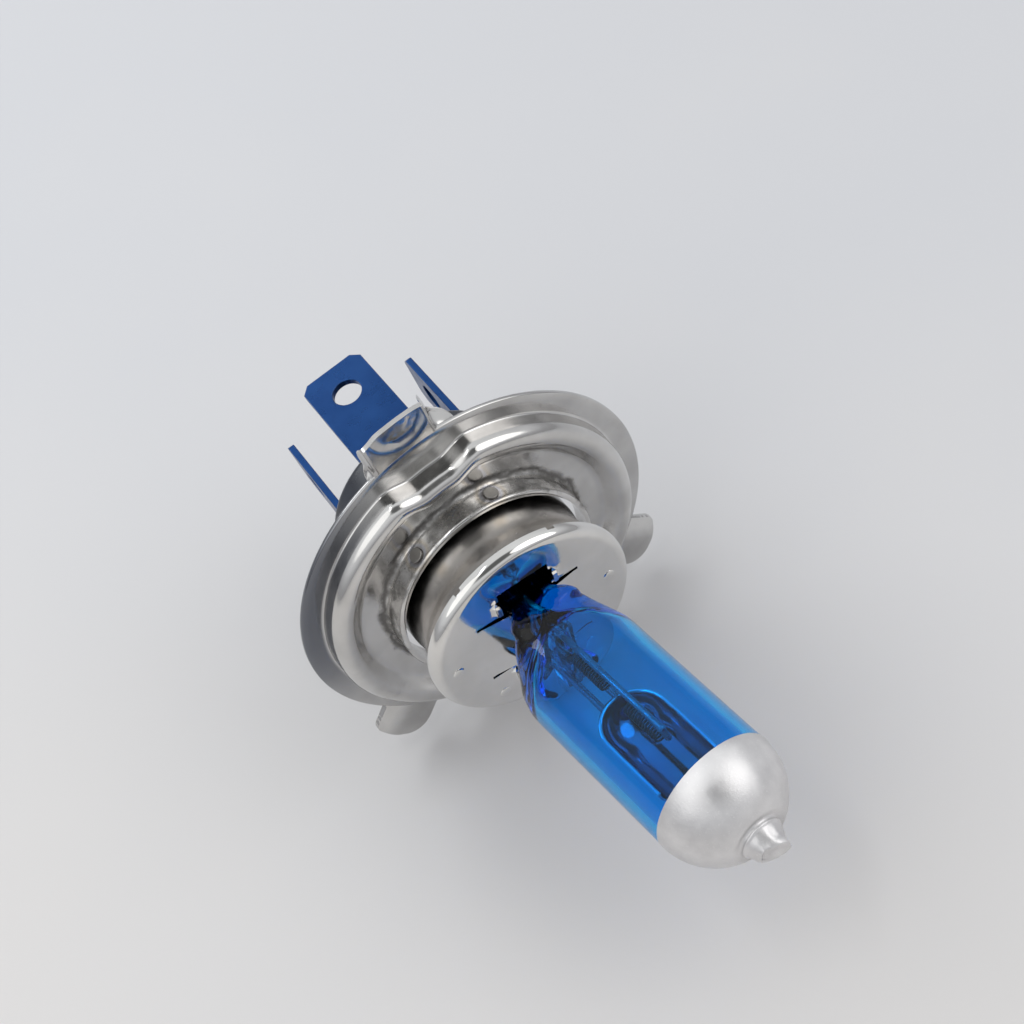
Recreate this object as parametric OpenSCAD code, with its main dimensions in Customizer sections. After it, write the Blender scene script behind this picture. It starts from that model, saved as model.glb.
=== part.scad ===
// Three-contact headlight bulb with two filaments, on a round focus ring with three lugs.
// Each module draws one piece. The bulb axis points towards -Y, the wide lug is up (+Z),
// and the origin is the centre of the ring's front rim face, which seats on the reflector.

/* [Glass bulb] */
// Outer radius of the glass tube
tube_r = 7.1; // [6.6:0.1:7.6]
// Thickness of the glass wall
glass_t = 1.0; // [0.8:0.1:1.2]
// Distance from the rim face to the start of the domed end
dome_z = 39.4; // [36:0.5:47]
// Distance from the rim face to where the shoulder reaches full width
shoulder_z = 20.4; // [19:0.2:22]
// Distance from the rim face to the front end of the flat pinch
pinch_z = 12.3; // [12:0.1:13]
// Length of the flat pinch behind that point
pinch_l = 9.6; // [8:0.2:11]
// Height of the pinch across its wide direction
pinch_h = 11.2; // [10:0.2:12]
// Thickness of the ribs at the pinch's two ends
pinch_t = 5.6; // [5:0.1:6]
// Depth of the recess pressed into each broad face of the pinch
recess_d = 0.9; // [0.6:0.1:1.2]
// Height of the solid rib at each end of the pinch
rib_h = 1.3; // [1:0.1:1.6]
// Radius of the sealed filling nib where it leaves the dome
nib_r = 2.2; // [1.8:0.1:2.6]
// Length of the filling nib from its ring to its point
nib_l = 3.3; // [2.5:0.1:4]
// Thickness of the silver coating on the dome
coat_t = 0.06; // [0.04:0.01:0.1]
// Angle of the pinch and its holder plate about the axis
seal_turn = 8; // [0:1:12]
// Lean of the glass in its holder, to the right
glass_lean = 5.0; // [0:0.5:5]

/* [Filaments and leads] */
// Outer radius of each filament coil
coil_r = 0.7; // [0.5:0.05:0.9]
// Radius of the filament wire
coil_wire_r = 0.16; // [0.12:0.01:0.2]
// Number of turns in each coil
coil_turns = 7; // [5:1:9]
// Length of each coil
coil_l = 5.0; // [4:0.2:5]
// Start of the low beam coil, in front of the rim face
low_coil_z = 27.0; // [26:0.2:28]
// Start of the high beam coil, in front of the rim face
high_coil_z = 18.6; // [18.2:0.1:18.6]
// Height of both coils above the axis
coil_up = 1.1; // [0.8:0.1:1.4]
// Radius of the inner lead wires
lead_r = 0.35; // [0.25:0.05:0.45]
// Distance between neighbouring leads across the pinch
lead_pitch = 3.5; // [3.2:0.1:3.8]
// Radius of the spoon-shaped shield
shield_r = 3.9; // [3.5:0.1:3.9]
// Length of the straight part of the shield
shield_l = 7.6; // [6:0.2:9]
// Start of that straight part, in front of the rim face
shield_z = 28.2; // [28.2:0.2:29]
// Thickness of the shield metal
shield_t = 0.25; // [0.2:0.05:0.35]
// How far the shield's straight edges lie below the axis
shield_drop = 0.5; // [0.4:0.1:0.7]
// Width of each sealing foil
foil_w = 2.2; // [1.8:0.1:2.6]
// Length of each sealing foil
foil_l = 5.0; // [4:0.2:5.6]
// Thickness of each sealing foil
foil_t = 0.1; // [0.06:0.02:0.14]

/* [Focus ring] */
// Radius of the rim
rim_r = 21.5; // [21:0.1:22]
// Radius of the spigot that centres the bulb in the reflector
spigot_r = 19.0; // [18.6:0.1:19.2]
// Height of the spigot's crest above the rim face
spigot_h = 3.0; // [2.6:0.1:3.4]
// Radius of the crest's rounded edge
crest_round = 1.4; // [1.2:0.1:1.6]
// Thickness of the ring's sheet metal
ring_t = 0.6; // [0.5:0.05:0.8]
// Height of the flat plate inside the crest
plate_z = 1.4; // [1:0.1:1.6]
// Outer radius of the collar that holds the sleeve
collar_r = 12.2; // [12:0.1:12.8]
// Height of the collar's mouth
collar_z = 4.4; // [4:0.1:5]
// Width of the wide top lug
top_lug_w = 10.8; // [9:0.2:12]
// Radius from the axis to the top lug's outer edge
top_lug_r = 25.4; // [24.4:0.2:26]
// Width of each lower lug
low_lug_w = 6.4; // [5:0.2:7]
// Radius from the axis to the lower lugs' outer edge
low_lug_r = 26.2; // [25:0.2:27]
// Angle between the top lug and each lower lug
lug_angle = 135; // [125:1:140]
// Width of the flat in the spigot wall beside the top lug
notch_w = 5.2; // [4:0.2:6]
// How far that flat is set in
notch_d = 1.4; // [1:0.1:1.6]

/* [Holder] */
// Outer radius of the sleeve
sleeve_r = 10.9; // [10.6:0.1:11.1]
// Thickness of the sleeve wall
sleeve_t = 0.4; // [0.3:0.05:0.5]
// Distance from the rim face back to the sleeve's rear edge
sleeve_back = 6.2; // [5.6:0.2:7]
// Radius of the holder plate
plate_r = 12.3; // [12.2:0.1:12.6]
// Distance from the rim face to the holder plate's front
plate_top = 11.4; // [11:0.1:11.8]
// Thickness of the holder plate
plate_t = 0.5; // [0.4:0.05:0.6]
// Radius of the plate's rolled edge
lip_round = 1.1; // [0.9:0.1:1.3]
// Half height of the slot for the pinch
slot_h = 7.9; // [7:0.1:8.4]
// Half width of that slot
slot_w = 3.1; // [3:0.1:3.4]
// Room beside each gripping tongue in the pinch's recess
tongue_side = 0.1; // [0.05:0.05:0.3]
// Distance from the axis to the root of each tongue
tongue_root = 6.3; // [5.8:0.1:6.8]
// Width of the slits that free the tongues
slit_w = 0.4; // [0.3:0.05:0.6]

/* [Base and contacts] */
// Radius of the insulator
base_r = 11.3; // [11.1:0.1:11.8]
// Distance from the rim face back to the insulator's rear face
base_back = 12.4; // [11.6:0.2:13.4]
// Distance from the rim face back to the contacts' ends
blade_back = 27.0; // [25:0.5:32]
// Width of each contact blade
blade_w = 8.0; // [7.6:0.1:8.4]
// Thickness of each contact blade
blade_t = 0.8; // [0.6:0.1:1]
// Height of the top blade above the axis
top_blade_up = 9.0; // [8.6:0.1:9.4]
// Distance from the axis to each side blade
side_blade_out = 8.5; // [8:0.1:8.8]
// Radius of the hole in each blade
blade_hole_r = 1.75; // [1.4:0.05:2]
// Distance from the blade's end to its hole
blade_hole_in = 4.5; // [3.8:0.1:5]
// Size of the chamfer on the blade's end corners
blade_chamfer = 1.0; // [0.6:0.1:1.4]
// Width of the narrow tail inside the base
tail_w = 3.0; // [2.4:0.2:3.6]
// Distance from the rim face back to the tail's inner end
tail_front = 1.6; // [1:0.2:2.4]

/* [Hidden] */
$fn = 96;
EPS = 0.01;
EDGE_STEPS = 6;
SHOULDER_STEPS = 10;
COIL_SIDES = 6;
COIL_STEPS = 12;
WIRE_SIDES = 24;

// Half thickness of the pinch between its ribs
web_half = pinch_t / 2 - recess_d;
recess_h = pinch_h - 2 * rib_h;
tongue_h = recess_h - 2 * tongue_side;
pinch_back = pinch_z - pinch_l;
cavity_r = tube_r - glass_t;
cavity_in = 2.2;
cavity_z = pinch_z + cavity_in;
nib_sink = 0.55;
nib_z = dome_z + sqrt(tube_r * tube_r - nib_r * nib_r) - nib_sink;
nib_lean = 0.6;
nib_part = 0.45;
nib_step = 0.15;
nib_mid_r = nib_r - 0.6;
nib_point_l = 0.7 * nib_l;
nib_point_r = nib_r - 0.9;
nib_end_r = 0.4;
dome_blend = 1.3;
dome_flare = 2.2;
shoulder_rise = 3.4;
end_groove_w = 1.8;
end_groove_d = 0.7;

// The foils sit in the middle of the pinch; the inner leads start where they end
foil_in = 1.4;
foil_z = pinch_z - foil_l - foil_in;
lead_lap = 0.9;
lead_z = foil_z + foil_l - lead_lap;
outer_lead_z = foil_z + lead_lap;
bridge_end = 1.3;
bridge_h = 2 * (lead_pitch + bridge_end);
bridge_t = 2.2;
bridge_drop = 2.8;
bridge_z = high_coil_z - bridge_drop;
bridge_l = 1.8;
support_x = 1.0;
support_r = 0.4;
link_r = 0.2;
link_leg_up = 0.3;
bend_more = 0.08;
// The supports run below the axis and end on the shield's round end
support_in = 1.8;
support_drop = shield_drop + support_in;
coil_mid_r = coil_r - coil_wire_r;
low_coil_end = low_coil_z + coil_l;
high_coil_end = high_coil_z + coil_l;

root_fillet = 0.3;
bead_slope = 45;
valley_round = 1.2;
collar_fillet = 0.8;
crest_in = spigot_r - crest_round;
crest_up = spigot_h - crest_round;
slope_top = [crest_in - crest_round * sin(bead_slope), crest_up + crest_round * cos(bead_slope)];
valley_end_z = plate_z + valley_round * (1 - cos(bead_slope));
slope_run = (slope_top[1] - valley_end_z) / tan(bead_slope);
valley_in = slope_top[0] - slope_run - valley_round * sin(bead_slope);
lug_lap = 1.2;
lug_root_r = spigot_r + lug_lap;
lug_bend_r = 2.4;
lug_bend_angle = 38;
lug_flat = low_lug_w - (lug_bend_r + ring_t) * sin(lug_bend_angle);
lug_corner = 2.4;
pocket_r = 3.0;
pocket_d = 0.25;
notch_slope_w = 2.0;
notch_out = spigot_r + root_fillet;

band_z = 7.2;
crease_h = 0.6;
band_in = 0.25;
flange_in = 8.4;
flare_gap = 0.25;
sleeve_flare = plate_r - plate_t - flare_gap;
sleeve_front = plate_top - plate_t;
lip_inner = lip_round - plate_t;
flare_edge = 0.2;
flare_h = lip_inner + sleeve_t + flare_edge;
lip_depth = 1.4;
clip_w = 2.0;
clip_round = 0.9;
clip_gap = 0.4;
clip_in = pinch_t / 2 + clip_gap;
clip_off = 0.3;
clip_mid = tongue_h / 2 + slit_w + clip_off + clip_w / 2;
clip_reach = clip_in + clip_round + plate_t;
tongue_rise = 0.5;
tongue_flat = 0.6;
tongue_gap = 0.12;
tongue_tip = web_half + tongue_gap;
lip_nick_w = 0.9;
lip_nick_d = 0.5;
lip_nick_angles = [-32, 24];
plate_weld_r = 0.7;
plate_weld_top_r = 0.5;
plate_weld_h = 0.12;
plate_weld_at = 9.6;
plate_weld_angles = [90, 270, 145, 215];
weld_r = 0.8;
weld_dome = 0.25;
collar_weld_z = 3.0;
collar_weld_angles = [-28, 20, 150, 205];

base_step_r = sleeve_r - sleeve_t;
base_lap = 1.6;
base_front = sleeve_back - base_lap;
base_edge = 0.8;
base_wall = 1.4;
base_floor = 4.2;
tail_step_in = 1.2;
tail_step = base_back - base_floor + tail_step_in;
tail_lead_in = 1.2;
tail_mid = tail_front + tail_lead_in;
outer_bend = 2.4;
outer_step = 0.6;

// Points on an arc about c, from angle a to angle b
function arc(c, r, a, b, n = EDGE_STEPS) =
    [for (i = [0:n]) c + r * [cos(a + (b - a) * i / n), sin(a + (b - a) * i / n)]];

function backwards(list) = [for (i = [len(list) - 1:-1:0]) list[i]];

// Turns the drawing frame, with the axis along Z, into the part's frame
module in_row() {
    rotate([90, 0, 0]) children();
}

// Turns what belongs to the pinch by the pinch's own angle
module with_seal() {
    in_row() rotate([0, 0, -seal_turn]) children();
}

// Places the glass and all it holds, which lean a little about the middle of the plate's slot
module with_glass() {
    in_row() translate([0, 0, plate_top]) rotate([0, glass_lean, 0]) translate([0, 0, -plate_top])
        rotate([0, 0, -seal_turn]) children();
}

// A point of the glass's own frame in the part's drawing frame
function glass_point(p) = let (
    x = p[0] * cos(seal_turn) + p[1] * sin(seal_turn),
    y = p[1] * cos(seal_turn) - p[0] * sin(seal_turn),
    z = p[2] - plate_top)
    [x * cos(glass_lean) + z * sin(glass_lean), y, z * cos(glass_lean) - x * sin(glass_lean) + plate_top];

// A straight round wire between two points
module wire_piece(a, b, r) {
    d = b - a;
    l = norm(d);
    translate(a) rotate([0, acos(d[2] / l), atan2(d[1], d[0])]) cylinder(h = l, r = r, $fn = WIRE_SIDES);
}

// Straight wires joined by a ball at each bend
module wire(points, r) {
    for (i = [0:len(points) - 2]) wire_piece(points[i], points[i + 1], r);
    for (i = [1:len(points) - 2]) translate(points[i]) sphere(r = r + bend_more, $fn = WIRE_SIDES);
}

// ---- Glass ----

// Half width of the shoulder, from half width a at z0 to r at the full tube
function shoulder(a, r, z0) =
    [for (i = [0:SHOULDER_STEPS])
        [a + (r - a) * sin(90 * i / SHOULDER_STEPS), z0 + (shoulder_z - z0) * i / SHOULDER_STEPS]];

function mirrored(line) = concat(line, [for (p = backwards(line)) [-p[0], p[1]]]);

// A flat outline in X and Z, drawn out along Y
module slab(outline, h) {
    rotate([90, 0, 0]) linear_extrude(height = h, center = true) polygon(outline);
}

// Pinch and shoulder: thin across X, wide across Y, inside the tube's own radius
module shoulder_solid() {
    side = concat([[pinch_t / 2, pinch_back]], shoulder(pinch_t / 2, tube_r, pinch_z));
    edge = [[pinch_h / 2, pinch_back], [pinch_h / 2, pinch_z - 1], [tube_r, pinch_z + shoulder_rise],
        [tube_r, shoulder_z]];
    intersection() {
        slab(mirrored(side), 2 * tube_r + 1);
        rotate([0, 0, 90]) slab(mirrored(edge), 2 * tube_r + 1);
        translate([0, 0, pinch_back]) cylinder(h = shoulder_z - pinch_back, r = tube_r);
    }
}

// Recesses on the broad faces and grooves in the two narrow ends
module pinch_recesses() {
    for (s = [-1, 1]) {
        translate([s * (web_half + 1), 0, pinch_back + pinch_l / 2])
            cube([2, recess_h, pinch_l + 2 * EPS], center = true);
        translate([0, s * (pinch_h / 2 + 1 - end_groove_d), pinch_back + pinch_l / 2])
            cube([end_groove_w, 2, pinch_l + 2 * EPS], center = true);
    }
}

// The domed end with its nib, made larger all over by "more"
module dome_solid(more) {
    r = tube_r + more;
    intersection() {
        translate([0, 0, dome_z]) sphere(r = r);
        translate([0, 0, dome_z]) cylinder(h = r, r = r + 1);
    }
    translate([0, 0, nib_z - dome_blend])
        cylinder(h = dome_blend, r1 = nib_r + dome_flare + more, r2 = nib_r + more);
    translate([0, 0, nib_z])
        cylinder(h = nib_l * nib_part + more, r1 = nib_r - nib_step + more, r2 = nib_mid_r + more);
    translate([nib_lean, 0, nib_z + nib_l - nib_point_l])
        cylinder(h = nib_point_l + more, r1 = nib_point_r + more, r2 = nib_end_r + more);
}

module cavity() {
    side = concat([[0, cavity_z]], shoulder(0, cavity_r, cavity_z), [[cavity_r, dome_z]]);
    intersection() {
        slab(mirrored(side), 2 * tube_r);
        translate([0, 0, cavity_z]) cylinder(h = dome_z - cavity_z, r = cavity_r);
    }
    intersection() {
        translate([0, 0, dome_z]) sphere(r = cavity_r);
        translate([0, 0, dome_z - EPS]) cylinder(h = cavity_r + 1, r = cavity_r + 1);
    }
}

module glass_envelope() {
    color([0.06, 0.38, 0.75, 0.6]) with_glass() difference() {
        union() {
            shoulder_solid();
            translate([0, 0, shoulder_z]) cylinder(h = dome_z - shoulder_z, r = tube_r);
            dome_solid(0);
        }
        pinch_recesses();
        cavity();
        sealed_metal();
    }
}

module tip_coating() {
    color("gainsboro") with_glass() difference() {
        dome_solid(coat_t);
        dome_solid(0);
        translate([0, 0, dome_z - 5]) cylinder(h = 5, r = tube_r + 1);
    }
}

// ---- Filaments, shield and leads ----

// A closed helix of round wire along Z
module coil(z0, up) {
    rings = coil_turns * COIL_STEPS;
    points = [for (i = [0:rings]) for (k = [0:COIL_SIDES - 1])
        let (turn = 360 * i / COIL_STEPS,
            side = 360 * k / COIL_SIDES,
            out = coil_mid_r + coil_wire_r * cos(side))
        [out * cos(turn), up + out * sin(turn), z0 + coil_l * i / rings + coil_wire_r * sin(side)]];
    walls = [for (i = [0:rings - 1]) for (k = [0:COIL_SIDES - 1])
        let (a = i * COIL_SIDES + k, b = i * COIL_SIDES + (k + 1) % COIL_SIDES)
        [a, a + COIL_SIDES, b + COIL_SIDES, b]];
    first = [for (k = [0:COIL_SIDES - 1]) k];
    last = [for (k = [COIL_SIDES - 1:-1:0]) rings * COIL_SIDES + k];
    polyhedron(points, concat(walls, [first, last]), convexity = 8);
}

module low_beam_filament() {
    color("dimgray") with_glass() coil(low_coil_z, coil_up);
}

module high_beam_filament() {
    color("dimgray") with_glass() coil(high_coil_z, coil_up);
}

// Half of a thin closed tube, open upwards, with a round end towards the pinch
module low_beam_shield() {
    function half_line(r) = concat(
        [[r, shield_z + shield_l]],
        arc([0, shield_z], r, 0, -90, 12));
    color("slategray") with_glass() translate([0, -shield_drop, 0]) rotate([0, 0, 180])
        rotate_extrude(angle = 180)
        polygon(concat(half_line(shield_r), backwards(half_line(shield_r - shield_t))));
}

// Two posts from the bridge to the shield's round end
module support_posts() {
    for (s = [-1, 1])
        translate([s * support_x, -support_drop, bridge_z])
            cylinder(h = shield_z - bridge_z, r = support_r, $fn = 32);
}

module shield_support() {
    color("gray") with_glass() difference() {
        support_posts();
        translate([0, -shield_drop, shield_z]) sphere(r = shield_r);
    }
}

function lead_y(n) = n * lead_pitch;

// The inner leads are numbered 1 for low beam, 0 for common and -1 for high beam
lead_tops = [high_coil_z - coil_wire_r - lead_r, bridge_z + bridge_l / 2, low_coil_end + coil_wire_r + lead_r];

function lead_top(n) = lead_tops[n + 1];

// The straight leg of each inner lead
module lead_leg(n) {
    translate([0, lead_y(n), lead_z]) cylinder(h = lead_top(n) - lead_z, r = lead_r, $fn = WIRE_SIDES);
}

// A lead that turns at its top and meets the end of a coil
module coil_lead(n) {
    wire([[0, lead_y(n), lead_z], [0, lead_y(n), lead_top(n)], [coil_mid_r, coil_up, lead_top(n)]], lead_r);
}

module inner_lead_low() {
    color("gray") with_glass() coil_lead(1);
}

module inner_lead_common() {
    color("gray") with_glass() lead_leg(0);
}

module inner_lead_high() {
    color("gray") with_glass() coil_lead(-1);
}

// The wire that joins the two coils, with a leg down to one support post
module common_link() {
    link_start = high_coil_end + coil_wire_r;
    link_end = low_coil_z - coil_wire_r;
    leg_z = link_start + link_leg_up;
    color("gray") with_glass() {
        translate([coil_mid_r, coil_up, link_start])
            cylinder(h = link_end - link_start, r = link_r, $fn = WIRE_SIDES);
        difference() {
            wire_piece([coil_mid_r, coil_up, leg_z], [support_x, -support_drop, leg_z], link_r);
            support_posts();
        }
    }
}

// A clear bar that holds the leads at their spacing
module lead_bridge() {
    color([0.75, 0.85, 0.95, 0.5]) difference() {
        with_glass() translate([0, 0, bridge_z + bridge_l / 2])
            cube([bridge_t, bridge_h, bridge_l], center = true);
        with_glass() {
            for (n = [-1:1]) lead_leg(n);
            support_posts();
        }
    }
}

module foil(n) {
    translate([0, lead_y(n), foil_z + foil_l / 2]) cube([foil_t, foil_w, foil_l], center = true);
}

// The foil without the wire ends that are welded to it
module foil_piece(n) {
    color("lightsteelblue") with_glass() difference() {
        foil(n);
        lead_leg(n);
        outer_leg(n);
    }
}

module foil_low() {
    foil_piece(1);
}

module foil_common() {
    foil_piece(0);
}

module foil_high() {
    foil_piece(-1);
}

// The straight leg of each outer lead, which runs out of the pinch
module outer_leg(n) {
    translate([0, lead_y(n), pinch_back - 1])
        cylinder(h = outer_lead_z - pinch_back + 1, r = lead_r, $fn = WIRE_SIDES);
}

// All metal that the pinch is pressed round
module sealed_metal() {
    for (n = [-1:1]) {
        foil(n);
        lead_leg(n);
        outer_leg(n);
    }
}

// Each outer lead runs from its foil to the inner face of its contact's tail
module outer_lead(n, goal) {
    bend_z = pinch_back - outer_bend - outer_step * n;
    start = glass_point([0, lead_y(n), outer_lead_z]);
    bend = glass_point([0, lead_y(n), bend_z]);
    color("gray") in_row() wire([start, bend, goal], lead_r);
}

module outer_lead_low() {
    outer_lead(1, [0, top_blade_up - blade_t / 2 - lead_r, -tail_mid]);
}

module outer_lead_common() {
    outer_lead(0, [blade_t / 2 + lead_r - side_blade_out, 0, -tail_mid]);
}

module outer_lead_high() {
    outer_lead(-1, [side_blade_out - blade_t / 2 - lead_r, 0, -tail_mid]);
}

// ---- Holder ----

// The plate's slot, its slits, and the gaps where tongues and clips stand
module plate_openings() {
    translate([-slot_w, -slot_h]) square([2 * slot_w, 2 * slot_h]);
    for (s = [-1, 1]) {
        translate([s > 0 ? 0 : -tongue_root, -tongue_h / 2 - slit_w])
            square([tongue_root, tongue_h + 2 * slit_w]);
        for (e = [-1, 1])
            translate([s > 0 ? 0 : -clip_reach, e * clip_mid - clip_w / 2]) square([clip_reach, clip_w]);
    }
}

// A tongue bent slightly forward, reaching to the pinch's broad face
module tongue() {
    base = plate_top - plate_t;
    bend_x = tongue_root - tongue_flat;
    outline = [[tongue_root + EPS, base], [tongue_root + EPS, plate_top], [bend_x, plate_top],
        [tongue_tip, plate_top + tongue_rise], [tongue_tip, base + tongue_rise], [bend_x, base]];
    rotate([90, 0, 0]) linear_extrude(height = tongue_h, center = true) polygon(outline);
}

// A small clip curled forward beside the pinch's rib
module clip() {
    c = [clip_reach, plate_top + clip_round];
    outline = concat(arc(c, clip_round + plate_t, 270, 180), backwards(arc(c, clip_round, 270, 180)));
    for (e = [-1, 1])
        translate([0, e * clip_mid, 0])
            rotate([90, 0, 0]) linear_extrude(height = clip_w, center = true) polygon(outline);
}

module holder_plate() {
    lip_c = [plate_r - lip_round, plate_top - lip_round];
    outline = concat(
        [[0, plate_top]],
        backwards(arc(lip_c, lip_round, 0, 90)),
        [[plate_r, plate_top - lip_depth], [plate_r - plate_t, plate_top - lip_depth]],
        arc(lip_c, lip_round - plate_t, 0, 90),
        [[0, plate_top - plate_t]]);
    color("silver") with_seal() {
        difference() {
            rotate_extrude() polygon(outline);
            translate([0, 0, plate_top - plate_t - 1]) linear_extrude(height = 3) plate_openings();
            for (a = lip_nick_angles)
                rotate([0, 0, -a]) translate([0, plate_r, plate_top - lip_depth])
                    cube([lip_nick_w, 2 * lip_nick_d, 1], center = true);
        }
        for (s = [0, 180]) rotate([0, 0, s]) {
            tongue();
            clip();
        }
    }
}

// Low weld spots that fix the plate to the sleeve's flange
module plate_welds() {
    color("gray") with_seal()
        for (a = plate_weld_angles)
            rotate([0, 0, -a]) translate([0, plate_weld_at, plate_top])
                cylinder(h = plate_weld_h, r1 = plate_weld_r, r2 = plate_weld_top_r, $fn = 32);
}

// The drawn sleeve: straight wall, a waist, and a flange under the plate
function sleeve_line(off) = [
    [sleeve_r - off, -sleeve_back],
    [sleeve_r - off, band_z - crease_h],
    [sleeve_r - band_in - off, band_z],
    [sleeve_flare - off, sleeve_front - flare_h],
    [sleeve_flare - off, sleeve_front - lip_inner - off],
    [plate_r - lip_round - off, sleeve_front - off],
    [flange_in, sleeve_front - off]];

module sleeve() {
    color("gray") in_row() rotate_extrude()
        polygon(concat(sleeve_line(0), backwards(sleeve_line(sleeve_t))));
}

module weld_rod() {
    translate([0, 0, collar_weld_z]) rotate([-90, 0, 0]) cylinder(h = rim_r, r = weld_r, $fn = 32);
}

module tube_wall(inner_r, outer_r) {
    difference() {
        cylinder(h = 2 * collar_z, r = outer_r);
        translate([0, 0, -1]) cylinder(h = 2 * collar_z + 2, r = inner_r);
    }
}

// Weld spots on the collar, each with a bridge of metal across the gap to the sleeve
module collar_welds() {
    color("lightgray") in_row() for (a = collar_weld_angles) rotate([0, 0, -a]) {
        intersection() {
            weld_rod();
            tube_wall(collar_r, collar_r + weld_dome);
        }
        intersection() {
            weld_rod();
            tube_wall(sleeve_r, collar_r - ring_t);
        }
    }
}

// ---- Focus ring ----

// The sheet's front face from rim to collar, moved back by "off"
function ring_line(off) = concat(
    [[rim_r, -off]],
    arc([spigot_r + root_fillet, root_fillet], root_fillet + off, 270, 180),
    arc([crest_in, crest_up], crest_round - off, 0, 90 + bead_slope),
    arc([valley_in, plate_z + valley_round], valley_round + off, 270 + bead_slope, 270),
    arc([collar_r + collar_fillet, plate_z + collar_fillet], collar_fillet + off, 270, 180),
    [[collar_r - off, collar_z]]);

// The inset flat beside the top lug, grown by "more" on its inner sides
module notch_outline(more) {
    inner = notch_w / 2 + more;
    depth = spigot_r - notch_d - more;
    outer = inner + notch_slope_w;
    polygon([[-outer, notch_out], [-inner, depth], [inner, depth], [outer, notch_out]]);
}

module ring_sheet() {
    inside = collar_r - ring_t;
    front = concat(ring_line(0), [[inside, collar_z], [inside, -ring_t], [rim_r, -ring_t]]);
    back = concat(ring_line(ring_t), [[inside, -2 * ring_t], [rim_r, -2 * ring_t]]);
    difference() {
        rotate_extrude() polygon(front);
        linear_extrude(height = spigot_h + 1) notch_outline(0);
        difference() {
            rotate_extrude() polygon(back);
            translate([0, 0, -ring_t]) linear_extrude(height = spigot_h + 1) notch_outline(ring_t);
        }
    }
}

// The wide top lug with its half-round pocket
module top_lug() {
    difference() {
        translate([0, 0, -ring_t]) linear_extrude(height = ring_t) intersection() {
            circle(r = top_lug_r);
            translate([-top_lug_w / 2, lug_root_r]) square([top_lug_w, top_lug_r]);
        }
        translate([0, top_lug_r, -pocket_d]) cylinder(h = 1, r = pocket_r);
    }
}

// A lower lug: flat, with the side nearer the top lug bent back
module lower_lug() {
    flat_end = low_lug_w / 2 - lug_flat;
    bend = [flat_end, -ring_t - lug_bend_r];
    bend_end = 90 + lug_bend_angle;
    across = concat(
        [[low_lug_w / 2, -ring_t], [low_lug_w / 2, 0]],
        arc(bend, lug_bend_r + ring_t, 90, bend_end),
        backwards(arc(bend, lug_bend_r, 90, bend_end)));
    corner = [low_lug_w / 2 - lug_corner, low_lug_r - lug_corner];
    intersection() {
        rotate([90, 0, 0]) translate([0, 0, -low_lug_r]) linear_extrude(height = low_lug_r - lug_root_r)
            polygon(across);
        translate([0, 0, -5]) linear_extrude(height = 10) difference() {
            translate([-low_lug_w, 0]) square([2 * low_lug_w, low_lug_r]);
            translate(corner) difference() {
                square(2 * lug_corner);
                circle(r = lug_corner);
            }
        }
    }
}

module focus_ring() {
    color("silver") in_row() {
        ring_sheet();
        top_lug();
        rotate([0, 0, -lug_angle]) lower_lug();
        mirror([1, 0, 0]) rotate([0, 0, -lug_angle]) lower_lug();
    }
}

// ---- Base and contacts ----

// A blade lying in the X-Z plane at its height, with a narrow tail inside the base
module blade() {
    half = blade_w / 2;
    outline = [
        [-half, -tail_step], [-half, -blade_back + blade_chamfer], [-half + blade_chamfer, -blade_back],
        [half - blade_chamfer, -blade_back], [half, -blade_back + blade_chamfer], [half, -tail_step],
        [tail_w / 2, -tail_step], [tail_w / 2, -tail_front], [-tail_w / 2, -tail_front],
        [-tail_w / 2, -tail_step]];
    difference() {
        rotate([90, 0, 0]) linear_extrude(height = blade_t, center = true) polygon(outline);
        translate([0, 0, -blade_back + blade_hole_in]) rotate([90, 0, 0])
            cylinder(h = blade_t + 1, r = blade_hole_r, center = true);
    }
}

module top_blade() {
    translate([0, top_blade_up, 0]) blade();
}

module side_blade() {
    translate([side_blade_out, 0, 0]) rotate([0, 0, 90]) blade();
}

module terminal_low_beam() {
    color("steelblue") in_row() top_blade();
}

module terminal_high_beam() {
    color("steelblue") in_row() side_blade();
}

module terminal_ground() {
    color("steelblue") in_row() mirror([1, 0, 0]) side_blade();
}

// Dark cup that closes the base and holds the three contacts
module insulator() {
    outline = concat(
        [[0, -base_back]],
        arc([base_r - base_edge, -base_back + base_edge], base_edge, 270, 360),
        [[base_r, -sleeve_back], [base_step_r, -sleeve_back], [base_step_r, -base_front],
            [base_step_r - base_wall, -base_front], [base_step_r - base_wall, -base_back + base_floor],
            [0, -base_back + base_floor]]);
    color([0.08, 0.1, 0.16]) in_row() difference() {
        rotate_extrude() polygon(outline);
        top_blade();
        side_blade();
        mirror([1, 0, 0]) side_blade();
    }
}

glass_envelope();
tip_coating();
low_beam_filament();
high_beam_filament();
low_beam_shield();
shield_support();
lead_bridge();
inner_lead_low();
inner_lead_common();
inner_lead_high();
common_link();
foil_low();
foil_common();
foil_high();
outer_lead_low();
outer_lead_common();
outer_lead_high();
holder_plate();
plate_welds();
sleeve();
collar_welds();
focus_ring();
insulator();
terminal_low_beam();
terminal_high_beam();
terminal_ground();
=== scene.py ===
import math

import bmesh
import bpy
from mathutils import Matrix, Vector, noise


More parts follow.
